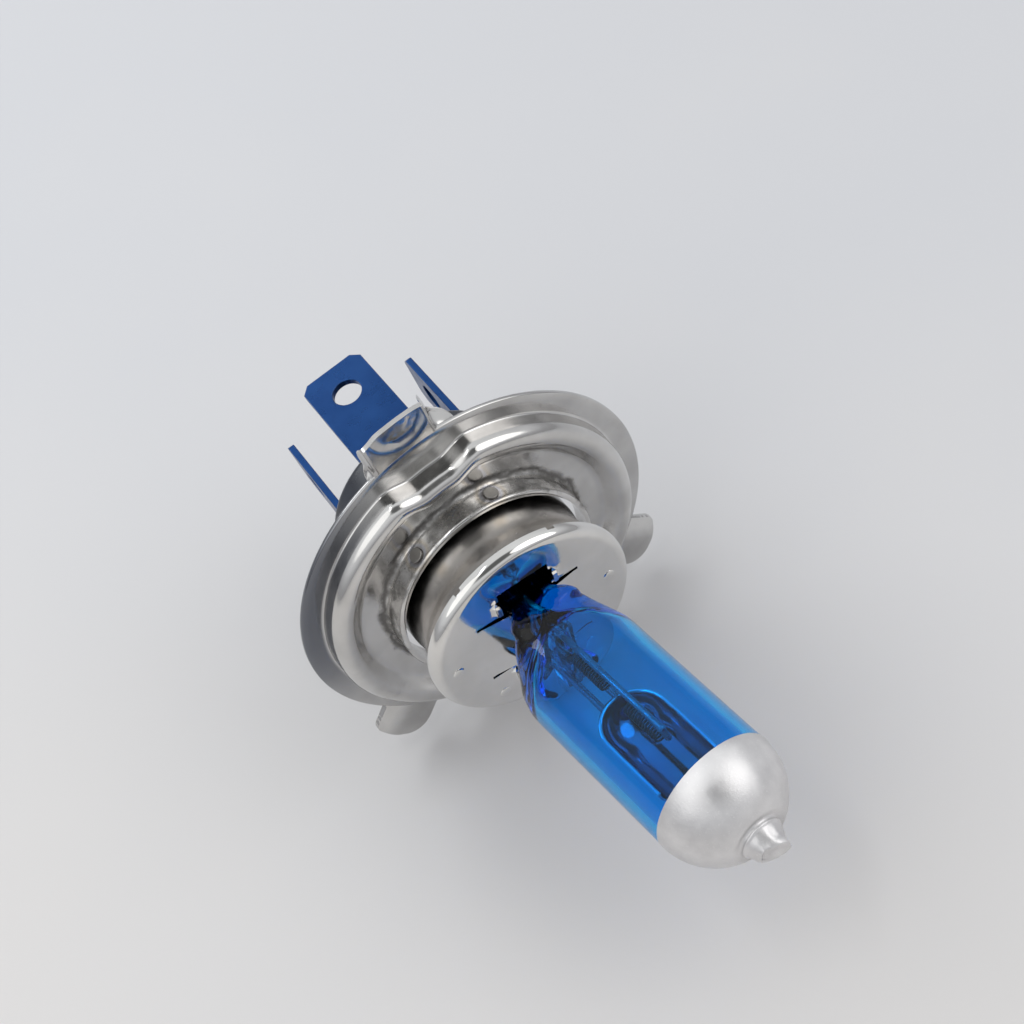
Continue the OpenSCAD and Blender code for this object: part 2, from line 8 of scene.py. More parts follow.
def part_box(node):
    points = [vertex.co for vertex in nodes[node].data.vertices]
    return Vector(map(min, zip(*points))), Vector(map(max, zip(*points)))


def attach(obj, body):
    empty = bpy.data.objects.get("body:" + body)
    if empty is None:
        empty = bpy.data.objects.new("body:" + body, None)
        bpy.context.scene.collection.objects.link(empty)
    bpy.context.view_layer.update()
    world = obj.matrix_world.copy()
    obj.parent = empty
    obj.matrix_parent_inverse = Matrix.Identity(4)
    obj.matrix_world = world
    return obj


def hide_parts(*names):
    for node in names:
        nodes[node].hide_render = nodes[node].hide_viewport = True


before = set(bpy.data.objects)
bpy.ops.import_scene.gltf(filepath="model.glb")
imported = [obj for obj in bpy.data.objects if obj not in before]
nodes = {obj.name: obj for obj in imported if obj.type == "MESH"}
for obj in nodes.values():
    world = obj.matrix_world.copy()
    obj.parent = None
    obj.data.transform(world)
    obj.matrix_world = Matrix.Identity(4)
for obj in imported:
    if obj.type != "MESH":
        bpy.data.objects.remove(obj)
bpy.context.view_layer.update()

MM = 0.001
SEAL_TURN = math.radians(8)
LEAN = math.radians(5)
PLATE_TOP = 11.4

# The drawing frame has its axis along Z; this turns it into the row frame, in metres
ROW = Matrix.Scale(MM, 4) @ Matrix.Rotation(math.radians(90), 4, "X")
SEAL = ROW @ Matrix.Rotation(-SEAL_TURN, 4, "Z")
GLASS = (ROW @ Matrix.Translation((0, 0, PLATE_TOP)) @ Matrix.Rotation(LEAN, 4, "Y")
         @ Matrix.Translation((0, 0, -PLATE_TOP)) @ Matrix.Rotation(-SEAL_TURN, 4, "Z"))


# ---------------------------------------------------------------- node helpers
def mix_colour(n, l, fac, a, b):
    """Mixes two colours, or sockets, by a socket."""
    mx = n.new("ShaderNodeMix")
    mx.data_type = "RGBA"
    l.new(fac, mx.inputs["Factor"])
    for socket, value in ((mx.inputs["A"], a), (mx.inputs["B"], b)):
        if isinstance(value, (tuple, list)):
            socket.default_value = (*value[:3], 1)
        else:
            l.new(value, socket)
    return mx.outputs["Result"]


def ranged(n, l, source, a, b, c, d, smooth=True):
    """Carries a socket's values from a..b to c..d."""
    r = n.new("ShaderNodeMapRange")
    r.interpolation_type = "SMOOTHSTEP" if smooth else "LINEAR"
    for i, v in zip(("From Min", "From Max", "To Min", "To Max"), (a, b, c, d)):
        r.inputs[i].default_value = v
    l.new(source, r.inputs["Value"])
    return r.outputs[0]


def ramped(n, l, fac, stops):
    """A colour ramp through stops of (place, colour)."""
    ramp = n.new("ShaderNodeValToRGB")
    e = ramp.color_ramp.elements
    for element, (at, colour) in zip((e[0], e[1]), (stops[0], stops[-1])):
        element.position, element.color = at, (*colour, 1)
    for at, colour in stops[1:-1]:
        e.new(at).color = (*colour, 1)
    l.new(fac, ramp.inputs[0])
    return ramp.outputs[0]


def noise_node(n, l, vector, scale, detail=4, rough=0.55):
    t = n.new("ShaderNodeTexNoise")
    t.inputs["Scale"].default_value = scale
    t.inputs["Detail"].default_value = detail
    t.inputs["Roughness"].default_value = rough
    l.new(vector, t.inputs["Vector"])
    return t.outputs["Fac"]


def maths(n, l, op, a, b=None):
    """One step of arithmetic on numbers or sockets."""
    m = n.new("ShaderNodeMath")
    m.operation = op
    for i, v in enumerate((a, b)):
        if v is None:
            continue
        if isinstance(v, (int, float)):
            m.inputs[i].default_value = v
        else:
            l.new(v, m.inputs[i])
    return m.outputs[0]


def vector_maths(n, l, op, a, b=None):
    """One step of vector arithmetic on a socket and a vector or socket."""
    m = n.new("ShaderNodeVectorMath")
    m.operation = op
    l.new(a, m.inputs[0])
    if isinstance(b, (tuple, Vector)):
        m.inputs[1].default_value = b
    elif b is not None:
        l.new(b, m.inputs[1])
    return m.outputs["Value" if op in ("DOT_PRODUCT", "DISTANCE", "LENGTH") else "Vector"]


def bumped(n, l, height, strength, distance, finer=None):
    """A bump's normal from a height; finer is the normal of a finer bump that it carries."""
    b = n.new("ShaderNodeBump")
    b.inputs["Strength"].default_value = strength
    b.inputs["Distance"].default_value = distance
    l.new(height, b.inputs["Height"])
    if finer is not None:
        l.new(finer, b.inputs["Normal"])
    return b.outputs[0]


def edge_mask(n, l, radius, low, high, most):
    """Where a rubbed edge would show, found by comparing the normal with a rounded one; on the shield it
    places painted edge highlights.
    """
    bev = n.new("ShaderNodeBevel")
    bev.samples = 4
    bev.inputs["Radius"].default_value = radius * MM
    geo = n.new("ShaderNodeNewGeometry")
    same = vector_maths(n, l, "DOT_PRODUCT", bev.outputs[0], geo.outputs["Normal"])
    return ranged(n, l, maths(n, l, "SUBTRACT", 1.0, same), low, high, 0, most)


def axis_radius(n, l, vector):
    """Distance from the bulb's axis, which runs along Y."""
    return vector_maths(n, l, "LENGTH", vector_maths(n, l, "MULTIPLY", vector, (1, 0, 1)))


def principled(name):
    """A new material of one Principled surface, with the object's own coordinates."""
    m = bpy.data.materials.new(name)
    m.use_nodes = True
    n, l = m.node_tree.nodes, m.node_tree.links
    n.clear()
    b = n.new("ShaderNodeBsdfPrincipled")
    out = n.new("ShaderNodeOutputMaterial")
    l.new(b.outputs[0], out.inputs[0])
    return m, n, l, b, out, n.new("ShaderNodeTexCoord").outputs["Object"]


# ---------------------------------------------------------------- camera, lights, floor
scene = bpy.context.scene
scene.view_settings.view_transform = "Standard"


def look_from(place, right, down, forward, focal_px):
    """The camera, from its place in millimetres, its three directions and its focal length at 1024 pixels."""
    cam = bpy.data.cameras.new("Camera")
    cam.sensor_width = 36.0
    cam.lens = cam.sensor_width * focal_px / 1024
    cam.clip_start, cam.clip_end = 0.005, 20
    o = bpy.data.objects.new("Camera", cam)
    r, u, b = Vector(right).normalized(), -Vector(down).normalized(), -Vector(forward).normalized()
    o.matrix_world = Matrix((
        (r.x, u.x, b.x, place[0] * MM),
        (r.y, u.y, b.y, place[1] * MM),
        (r.z, u.z, b.z, place[2] * MM),
        (0, 0, 0, 1)))
    scene.collection.objects.link(o)
    scene.camera = o


def area(name, at, size, power, colour, size_y=None):
    """An area light aimed at the bulb: a disk, or a strip where size_y is given."""
    middle = Vector((0, -0.01, 0))
    d = bpy.data.lights.new(name, "AREA")
    d.energy, d.color, d.size = power, colour, size
    d.shape = "DISK"
    if size_y:
        d.shape, d.size_y = "RECTANGLE", size_y
    o = bpy.data.objects.new(name, d)
    o.location = at
    o.rotation_mode = "QUATERNION"
    o.rotation_quaternion = (middle - Vector(at)).to_track_quat("-Z", "Y")
    scene.collection.objects.link(o)


def studio():
    """A grey room that brightens upwards, and four area lights."""
    world = bpy.data.worlds.new("Studio")
    scene.world = world
    world.use_nodes = True
    n, l = world.node_tree.nodes, world.node_tree.links
    n.clear()
    toward = n.new("ShaderNodeTexCoord").outputs["Generated"]
    split = n.new("ShaderNodeSeparateXYZ")
    l.new(toward, split.inputs[0])
    room = ramped(n, l, ranged(n, l, split.outputs["Z"], -1, 1, 0, 1, False), (
        (0.0, (0.40, 0.40, 0.41)), (0.47, (0.30, 0.30, 0.31)), (0.56, (0.34, 0.345, 0.36)),
        (0.66, (0.55, 0.56, 0.58)), (0.80, (0.70, 0.715, 0.73)), (1.0, (0.72, 0.735, 0.75))))
    # A soft dark patch overhead, such as somebody leaning over the table leaves
    overhead = vector_maths(n, l, "DOT_PRODUCT", toward, Vector((0.05, -0.45, 0.89)).normalized())
    patch = ranged(n, l, overhead, 0.86, 0.97, 1.0, 0.16)
    bg = n.new("ShaderNodeBackground")
    l.new(vector_maths(n, l, "MULTIPLY", room, patch), bg.inputs["Color"])
    bg.inputs["Strength"].default_value = 1.25
    out = n.new("ShaderNodeOutputWorld")
    l.new(bg.outputs[0], out.inputs[0])
    area("Key", (-0.36, -0.08, 0.44), 0.50, 0.34, (1.0, 0.985, 0.965))
    area("Fill", (0.42, -0.28, 0.44), 0.56, 1.05, (1.0, 0.985, 0.97))
    area("Ceiling_lamp", (-0.12, 0.04, 0.60), 0.24, 0.22, (1.0, 1.0, 1.0), size_y=0.035)
    area("Strip", (-0.10, 0.36, 0.26), 0.40, 0.45, (0.95, 0.98, 1.0), size_y=0.09)


def floor():
    """A pale sheet just under the lowest point, with painted light: darker and cooler at the back, paler and
    warmer towards the front.
    """
    half, gap = 3.0, 0.00005
    lowest = min(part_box(k)[0].z for k in nodes)
    me = bpy.data.meshes.new("Floor")
    corners = [(-half, -half, 0), (half, -half, 0), (half, half, 0), (-half, half, 0)]
    me.from_pydata(corners, [], [(0, 1, 2, 3)])
    o = bpy.data.objects.new("Floor", me)
    o.location.z = lowest - gap
    scene.collection.objects.link(o)
    m, n, l, b, _, coord = principled("Pale_floor")
    # painted light: the sheet grows paler and warmer towards the front, as the light falls across the table
    frontward = vector_maths(n, l, "DOT_PRODUCT", coord, (-0.7, -0.7, 0))
    along = ranged(n, l, frontward, -0.09, 0.10, 0, 0.9)
    cloud = noise_node(n, l, coord, 14, 3, 0.5)
    fac = maths(n, l, "ADD", along, ranged(n, l, cloud, 0.3, 0.7, -0.12, 0.12, False))
    sheet = ramped(n, l, fac, ((0.0, (0.600, 0.603, 0.622)), (1.0, (0.700, 0.676, 0.655))))
    l.new(sheet, b.inputs["Base Color"])
    b.inputs["Roughness"].default_value = 0.55
    b.inputs["Specular IOR Level"].default_value = 0.3
    grain = noise_node(n, l, coord, 900, 2, 0.5)
    l.new(bumped(n, l, grain, 0.05, 0.0002), b.inputs["Normal"])
    me.materials.append(m)


look_from((-14.6192, -112.9768, 153.1932), (0.78995, -0.536794, -0.296364),
          (-0.603679, -0.596126, -0.529344), (0.107478, 0.597064, -0.794961), 1750)
studio()
floor()


# ---------------------------------------------------------------- materials
def metal(name, base, dark, rough=(0.12, 0.28), bump=0.06, grain=1400, spots=(), oxide=None, wear_and_glint=None,
          painted_rim_reflection=False, painted_gap_shade=None, dents=0.35):
    """Plated metal with patchy roughness and fine grain.

    wear is the colour of rubbed edges, and on the shield of painted edge highlights; spots are heat tints at
    welds as (centre, size), and oxide is a dark ring about the axis as (radius, width, strength, colour).
    painted_rim_reflection paints a dark reflection onto the outer rim, and deep paints shade onto the metal
    down inside the gap behind the collar, between two heights.
    """
    m, n, l, b, _, coord = principled(name)
    b.inputs["Metallic"].default_value = 1.0
    patches = noise_node(n, l, coord, 180, 3)
    fine = noise_node(n, l, coord, grain, 5, 0.65)
    haze = noise_node(n, l, coord, 520, 4, 0.6)
    colour = mix_colour(n, l, ranged(n, l, patches, 0.3, 0.72, 0, 1), dark, base)
    colour = mix_colour(n, l, ranged(n, l, haze, 0.62, 0.8, 0, 0.35), colour, tuple(0.72 * c for c in dark))
    roughness = ranged(n, l, haze, 0.3, 0.75, rough[0], rough[1])
    if painted_gap_shade:
        # painted shade: the metal darkens down inside the gap behind the collar, below the given heights
        split = n.new("ShaderNodeSeparateXYZ")
        l.new(coord, split.inputs[0])
        height = maths(n, l, "MULTIPLY", split.outputs["Y"], -1)
        fac = ranged(n, l, height, painted_gap_shade[1] * MM, painted_gap_shade[0] * MM, 0.92, 0.0)
        # behind the ring the painted shade fades again
        fac = maths(n, l, "MULTIPLY", fac, ranged(n, l, height, -0.9 * MM, 0.2 * MM, 0.25, 1.0))
        colour = mix_colour(n, l, fac, colour, (0.02, 0.019, 0.018))
    if painted_rim_reflection:
        # painted dark reflection on the outer rim, most of all on its left side
        r = axis_radius(n, l, coord)
        outer = ranged(n, l, r, 18.9 * MM, 19.5 * MM, 0, 1)
        toward = vector_maths(n, l, "DOT_PRODUCT", coord, (-0.876, 0, 0.482))
        left = ranged(n, l, maths(n, l, "DIVIDE", toward, r), 0.55, 1.0, 0.12, 0.90)
        colour = mix_colour(n, l, maths(n, l, "MULTIPLY", outer, left), colour, (0.13, 0.14, 0.165))
    if oxide:
        radius, width, strength, tint = oxide
        waver = ranged(n, l, haze, 0.3, 0.7, -0.35 * MM, 0.35 * MM, False)
        r = maths(n, l, "ADD", axis_radius(n, l, coord), waver)
        near = maths(n, l, "ABSOLUTE", maths(n, l, "SUBTRACT", r, radius * MM))
        fac = ranged(n, l, near, 0.0, width * MM, strength, 0.0)
        colour = mix_colour(n, l, fac, colour, tint)
        roughness = maths(n, l, "ADD", roughness, maths(n, l, "MULTIPLY", fac, 0.35))
    for centre, size in spots:
        away = ranged(n, l, vector_maths(n, l, "DISTANCE", coord, centre), 0, size * MM, 0, 1, False)
        heat = ramped(n, l, away, (
            (0.0, (0.60, 0.57, 0.53)), (0.42, (0.50, 0.48, 0.47)), (0.58, (0.72, 0.74, 0.82)),
            (0.76, (0.97, 0.91, 0.82)), (1.0, (1, 1, 1))))
        colour = vector_maths(n, l, "MULTIPLY", colour, heat)
    # edges paler from rubbing; on the shield they are painted white highlights
    if wear_and_glint:
        edge = edge_mask(n, l, 0.16, 0.03, 0.25, 0.8)
        rubbed_and_glinting = maths(n, l, "MULTIPLY", edge, ranged(n, l, haze, 0.3, 0.6, 0.3, 1))
        colour = mix_colour(n, l, rubbed_and_glinting, colour, wear_and_glint)
    l.new(colour, b.inputs["Base Color"])
    l.new(roughness, b.inputs["Roughness"])
    grainy = bumped(n, l, fine, bump, 0.0001)
    l.new(bumped(n, l, noise_node(n, l, coord, 90, 2, 0.5), dents, 0.00025, grainy), b.inputs["Normal"])
    return m


def glass(name, colour, rough=0.015, waves=0.10, ior=1.46, body=None):
    """Clear glass with faint waves. body is (colour, density) of a dye that goes all through the wall."""
    m, n, l, b, out, coord = principled(name)
    b.inputs["Transmission Weight"].default_value = 1.0
    b.inputs["IOR"].default_value = ior
    b.inputs["Specular IOR Level"].default_value = 0.4
    paler = tuple(min(1, c * 1.12) for c in colour)
    big = noise_node(n, l, coord, 120, 2)
    l.new(mix_colour(n, l, ranged(n, l, big, 0.35, 0.7, 0, 1), colour, paler), b.inputs["Base Color"])
    haze = noise_node(n, l, coord, 700, 3)
    l.new(ranged(n, l, haze, 0.4, 0.8, rough, rough + 0.03), b.inputs["Roughness"])
    l.new(bumped(n, l, noise_node(n, l, coord, 160, 2), waves, 0.0003), b.inputs["Normal"])
    if body:
        v = n.new("ShaderNodeVolumeAbsorption")
        v.inputs["Color"].default_value = (*body[0], 1)
        v.inputs["Density"].default_value = body[1]
        l.new(v.outputs[0], out.inputs["Volume"])
    return m


def plastic(name, base, light, rough=(0.22, 0.4)):
    """Moulded plastic with a fine grain and paler edges."""
    m, n, l, b, _, coord = principled(name)
    big = noise_node(n, l, coord, 260, 4)
    colour = mix_colour(n, l, ranged(n, l, big, 0.35, 0.7, 0, 1), base, light)
    palest = tuple(min(1, 2.4 * c + 0.02) for c in light)
    colour = mix_colour(n, l, edge_mask(n, l, 0.2, 0.03, 0.3, 0.5), colour, palest)
    l.new(colour, b.inputs["Base Color"])
    l.new(ranged(n, l, big, 0.3, 0.7, rough[0], rough[1]), b.inputs["Roughness"])
    l.new(bumped(n, l, noise_node(n, l, coord, 1500, 4), 0.12, 0.0001), b.inputs["Normal"])
    return m


def silver_paint(name):
    """Metallic paint: soft clouds, fine flakes and a slightly uneven coat."""
    m, n, l, b, _, coord = principled(name)
    b.inputs["Metallic"].default_value = 0.85
    cloud = noise_node(n, l, coord, 230, 4)
    flake = noise_node(n, l, coord, 4200, 3, 0.7)
    colour = mix_colour(n, l, ranged(n, l, cloud, 0.3, 0.72, 0, 1), (0.60, 0.59, 0.595), (0.76, 0.75, 0.75))
    colour = mix_colour(n, l, ranged(n, l, flake, 0.58, 0.75, 0, 0.5), colour, (0.9, 0.9, 0.9))
    l.new(colour, b.inputs["Base Color"])
    l.new(ranged(n, l, cloud, 0.3, 0.7, 0.34, 0.46), b.inputs["Roughness"])
    flaky = bumped(n, l, flake, 0.22, 0.00012)
    l.new(bumped(n, l, noise_node(n, l, coord, 140, 2), 0.3, 0.0003, flaky), b.inputs["Normal"])
    return m


def on_axis(angle, r, z):
    """A point in the row frame, angle measured from the top lug towards +X, in millimetres."""
    a = math.radians(angle)
    return tuple(ROW @ Vector((r * math.sin(a), r * math.cos(a), z)))


WELD_ANGLES = (-28, 20, 150, 205)
WELD_SPOTS = [(on_axis(a, 12.2, 3.0), 1.9) for a in WELD_ANGLES]
M = {
    # the ring's outer rim carries a painted dark reflection on its left side
    "ring": metal("Stamped_nickel", (0.66, 0.65, 0.635), (0.54, 0.53, 0.515), (0.10, 0.22), bump=0.03,
                  spots=WELD_SPOTS, wear_and_glint=(0.86, 0.85, 0.83), painted_rim_reflection=True,
                  oxide=(12.7, 0.75, 0.9, (0.10, 0.095, 0.09))),
    "plate": metal("Plate_nickel", (0.74, 0.73, 0.71), (0.66, 0.65, 0.63), (0.04, 0.11), bump=0.02,
                   wear_and_glint=(0.92, 0.91, 0.9)),
    # the sleeve carries painted shade down inside the gap behind the collar
    "sleeve": metal("Sleeve_nickel", (0.62, 0.595, 0.57), (0.50, 0.48, 0.455), (0.17, 0.28), bump=0.03,
                    dents=0.2, wear_and_glint=(0.85, 0.84, 0.82), painted_gap_shade=(5.6, 3.6)),
    "weld": metal("Weld_spots", (0.40, 0.385, 0.36), (0.22, 0.21, 0.20), (0.3, 0.5), bump=0.3, grain=2600),
    # painted reflection: the blades' deep blue stands in for a blue reflection in their mirror-like metal
    "contact": metal("Contact_painted_blue_reflection", (0.016, 0.055, 0.175), (0.012, 0.043, 0.145), (0.26, 0.38), bump=0.02,
                     wear_and_glint=(0.26, 0.34, 0.50), dents=0.06),
    "moly": metal("Molybdenum", (0.42, 0.42, 0.44), (0.25, 0.25, 0.27), (0.2, 0.4), wear_and_glint=(0.7, 0.7, 0.72)),
    # painted shade and highlight: the dish's dark base stands for the shade inside it, and its white edges
    # are painted highlights
    "shield": metal("Shield_painted_shade_and_glint", (0.34, 0.40, 0.48), (0.22, 0.27, 0.34), (0.05, 0.12),
                    wear_and_glint=(1.0, 1.0, 1.0), dents=1.0),
    # painted highlight: the rolled rim is a near-white copy of the shield metal, for the bright glints along
    # it
    "shield_rim_painted_glint": metal("Shield_rim_painted_glint", (0.96, 0.97, 0.98), (0.82, 0.85, 0.88), (0.04, 0.10),
                        bump=0.04, dents=0.9),
    "foil": metal("Foil", (0.6, 0.62, 0.66), (0.45, 0.46, 0.5), (0.15, 0.3), bump=0.2),
    "tungsten": metal("Tungsten", (0.09, 0.09, 0.10), (0.05, 0.05, 0.06), (0.3, 0.5), bump=0.2),
    "glass": glass("Blue_glass", (0.06, 0.55, 1.0), waves=0.04, ior=1.36, body=((0.10, 0.90, 0.985), 950)),
    "quartz": glass("Clear_quartz", (0.86, 0.92, 0.96), 0.02, 0.2),
    "insulator": plastic("Dark_insulator", (0.010, 0.013, 0.022), (0.018, 0.023, 0.036)),
    "silver": silver_paint("Silver_coat"),
}


# ---------------------------------------------------------------- mesh helpers
def add_piece(name, mesh_data, material, node, smooth=40):
    """A visible piece on the body. It stands for the CAD node, where one is given."""
    o = bpy.data.objects.new(name, mesh_data)
    scene.collection.objects.link(o)
    mesh_data.materials.clear()
    mesh_data.materials.append(material)
    shade_smooth(mesh_data, smooth)
    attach(o, "root")
    if node:
        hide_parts(node)
    return o


def shade_smooth(me, angle):
    """Smooth shading, with sharp edges where two faces meet at more than the angle."""
    bm = bmesh.new()
    bm.from_mesh(me)
    bmesh.ops.recalc_face_normals(bm, faces=bm.faces)
    limit = math.radians(angle)
    for f in bm.faces:
        f.smooth = True
    for e in bm.edges:
        e.smooth = not (len(e.link_faces) == 2 and e.calc_face_angle(0) > limit)
    bm.to_mesh(me)
    bm.free()
    me.update()


def mesh_of(name, points, faces, matrix):
    me = bpy.data.meshes.new(name)
    me.from_pydata([matrix @ Vector(p) for p in points], [], faces)
    me.validate()
    me.update()
    return me


def loops(rings, cyclic=False):
    """Points and faces of rings of equal size; the ends are capped, or the rings form a closed tube."""
    size = len(rings[0])
    points = [p for r in rings for p in r]
    faces = []
    count = len(rings)
    for i in range(count if cyclic else count - 1):
        j = (i + 1) % count
        for k in range(size):
            q = (k + 1) % size
            faces.append((i * size + k, i * size + q, j * size + q, j * size + k))
    if not cyclic:
        faces.append(tuple(range(size - 1, -1, -1)))
        faces.append(tuple((count - 1) * size + k for k in range(size)))
    return points, faces


def revolve(name, profile, matrix, steps, place=None):
    """Turns a closed outline of (r, z) about the axis. place(r, z, angle) may move each point."""
    rings = []
    for i in range(steps):
        a = 2 * math.pi * i / steps
        ring = []
        for r, z in profile:
            if place:
                r, z = place(r, z, a)
            ring.append((r * math.sin(a), r * math.cos(a), z))
        rings.append(ring)
    points, faces = loops(rings, cyclic=True)
    return mesh_of(name, points, faces, matrix)


def arc(cx, cz, r, a, b, n):
    """Points of an arc from angle a to angle b, in degrees."""
    return [(cx + r * math.cos(math.radians(a + (b - a) * i / n)),
             cz + r * math.sin(math.radians(a + (b - a) * i / n))) for i in range(n + 1)]


def step(x, a, b):
    """0 up to a, 1 from b on, and smooth between them."""
    t = min(1, max(0, (x - a) / (b - a)))
    return t * t * (3 - 2 * t)


def round_edges(o, width, segments, sharp):
    """Rounds the edges where two faces meet at more than the sharp angle."""
    bv = o.modifiers.new("Edges", "BEVEL")
    bv.width, bv.segments = width * MM, segments
    bv.limit_method, bv.angle_limit = "ANGLE", math.radians(sharp)


def softened(node, material, width, name, segments=2, reshape=None):
    """A copy of a CAD node with its edges rounded. reshape is (frame, function) to move its points there."""
    sharp, smooth, weld, flat = 32, 38, 2e-6, 0.6
    src = nodes[node]
    me = src.data.copy()
    me.name = name
    bm = bmesh.new()
    bm.from_mesh(me)
    bmesh.ops.remove_doubles(bm, verts=bm.verts, dist=weld)
    if reshape:
        matrix, change = reshape
        back = matrix.inverted()
        for v in bm.verts:
            v.co = matrix @ Vector(change(*(back @ v.co)))
    bmesh.ops.recalc_face_normals(bm, faces=bm.faces)
    bmesh.ops.dissolve_limit(bm, angle_limit=math.radians(flat), verts=bm.verts, edges=bm.edges)
    bm.to_mesh(me)
    bm.free()
    o = add_piece(name, me, material, node, smooth)
    if width:
        round_edges(o, width, segments, sharp)


# ---------------------------------------------------------------- focus ring
RIM, SPIGOT, SPIGOT_H, CREST, SHEET = 21.5, 19.0, 3.0, 1.4, 0.6
PLATE_Z, COLLAR_R, COLLAR_Z = 1.4, 12.2, 4.4
NOTCH_D, NOTCH_FLAT, NOTCH_END = 1.4, 1.6, 5.6
VALLEY_R, COLLAR_ROOT, SPIGOT_ROOT = 1.2, 0.8, 0.3
LUG_SINK = 0.015  # the lugs lie just under the rim's face, so the two faces never flicker


def ring_line(off):
    """The sheet's line from the rim in to the collar, on its front where off is 0, and off behind it."""
    n = 10
    crest_in, crest_up = SPIGOT - CREST, SPIGOT_H - CREST
    s = math.sin(math.radians(45))
    top = (crest_in - CREST * s, crest_up + CREST * s)
    valley_end = PLATE_Z + VALLEY_R * (1 - s)
    valley = top[0] - (top[1] - valley_end) - VALLEY_R * s
    if off == 0:
        pts = [(RIM, -0.18), (RIM - 0.05, -0.05), (RIM - 0.18, 0)]
    else:
        pts = [(RIM, -off + 0.15), (RIM - 0.15, -off)]
    pts += [(SPIGOT + 1.6, -off)]
    pts += arc(SPIGOT + SPIGOT_ROOT, SPIGOT_ROOT, SPIGOT_ROOT + off, 270, 180, n)
    pts += arc(crest_in, crest_up, CREST - off, 0, 135, n)
    pts += arc(valley, PLATE_Z + VALLEY_R, VALLEY_R + off, 315, 270, n)
    pts += arc(COLLAR_R + COLLAR_ROOT, PLATE_Z + COLLAR_ROOT, COLLAR_ROOT + off, 270, 180, n)
    pts += [(COLLAR_R - off, COLLAR_Z - 0.5), (COLLAR_R - off, COLLAR_Z - 0.14 if off == 0 else COLLAR_Z)]
    if off == 0:
        pts += [(COLLAR_R - 0.14, COLLAR_Z)]
    return pts


def notch_depth(a):
    """How far the spigot's wall is set in at an angle from the top lug."""
    x = SPIGOT * math.sin(a)
    if math.cos(a) < 0:
        return 0.0
    return NOTCH_D * (1 - step(abs(x), NOTCH_FLAT, NOTCH_END))


def ring_place(r, z, a):
    """Sets the notch in under the top lug and makes the sheet slightly uneven."""
    d = notch_depth(a)
    if r > SPIGOT:
        w = 1 - step(r, SPIGOT + 0.3, SPIGOT + 1.7)
    else:
        w = step(r, 14.6, 17.4)
    wave = 0.035 * math.sin(3 * a + 0.7) * step(r, 13, 17) * (1 - step(r, 19.4, 20.4))
    dent = 0.03 * noise.noise(Vector((r * math.sin(a), r * math.cos(a), z)) * 0.23)
    z += (wave + dent) * step(z, 0.4, 1.2)
    if r > 13.5:
        z = min(z, SPIGOT_H)
    return r - d * w, z


def sheet_patch(rows):
    """A closed piece of the ring's sheet from a grid of front points, in rows of equal length."""
    nu, nv = len(rows[0]), len(rows)
    front = [p for row in rows for p in row]
    back = [(x, y, z - SHEET) for x, y, z in front]
    pts = front + back
    off = nu * nv
    faces = []
    for j in range(nv - 1):
        for i in range(nu - 1):
            a, b, c, d = j * nu + i, j * nu + i + 1, (j + 1) * nu + i + 1, (j + 1) * nu + i
            faces += [(a, b, c, d), (a + off, d + off, c + off, b + off)]
    edge = list(range(nu)) + [j * nu + nu - 1 for j in range(1, nv)]
    edge += [(nv - 1) * nu + i for i in range(nu - 2, -1, -1)] + [j * nu for j in range(nv - 2, 0, -1)]
    for i, e in enumerate(edge):
        f = edge[(i + 1) % len(edge)]
        faces.append((e, e + off, f + off, f))
    return pts, faces


def top_lug_patch():
    """Wide, with a half-round pocket pressed into its middle and both sides folded back beyond the rim."""
    w, r_in, r_out, corner_r = 5.4, 19.7, 25.4, 1.7
    pocket_v, pocket_in, pocket_out, pocket_d, uneven = 25.6, 2.3, 3.9, 0.26, 0.04
    across, along = 60, 40
    rows = []
    for j in range(along + 1):
        row = []
        for i in range(across + 1):
            u = -w + 2 * w * i / across
            outer = math.sqrt(r_out ** 2 - u ** 2)
            corner = max(0, abs(u) - (w - corner_r))
            outer -= corner_r - math.sqrt(max(0, corner_r ** 2 - corner ** 2))
            v = r_in + (outer - r_in) * j / along
            z = -LUG_SINK
            pocket = 1 - step(math.hypot(u, v - pocket_v), pocket_in, pocket_out)
            z -= pocket_d * pocket
            z -= uneven * (0.5 + 0.5 * noise.noise(Vector((u * 1.3, v * 1.3, 3.1)))) * pocket
            fold, angle = (2.9, 72) if u > 0 else (4.1, 58)
            side = max(0, abs(u) - fold)
            tip = step(v, 20.4, 21.8)
            a = math.radians(angle) * tip * step(side, -0.2, 0.9)
            x = math.copysign(min(abs(u), fold) + side * math.cos(a), u)
            row.append((x, v, z - side * math.sin(a)))
        rows.append(row)
    return sheet_patch(rows)


def lower_lug_patch(side):
    """Flat towards the bottom, rolled back on the side nearer the top lug."""
    half, r_in, r_out, bend, roll = 3.2, 19.9, 26.2, 3.0, math.radians(40)
    low_corner, high_corner = 2.4, 0.7
    turn = -math.radians(135) * side
    cos, sin = math.cos(turn), math.sin(turn)
    across, along = 40, 32
    rows = []
    for j in range(along + 1):
        row = []
        for i in range(across + 1):
            s = i / across
            u = half - 2 * half * s
            x, z = u, 0.0
            if u < 0:
                a = min(roll, -u / bend)
                x, z = -bend * math.sin(a), -bend * (1 - math.cos(a))
                rest = -u - bend * a
                if rest > 0:
                    x -= rest * math.cos(a)
                    z -= rest * math.sin(a)
            outer = r_out
            for c, edge in ((low_corner, u), (high_corner, -u)):
                past = max(0, edge - (half - c))
                outer -= c - math.sqrt(max(0, c * c - past * past))
            v = r_in + (outer - r_in) * j / along
            x *= side
            row.append((x * cos - v * sin, x * sin + v * cos, z - LUG_SINK))
        rows.append(row)
    return sheet_patch(rows)


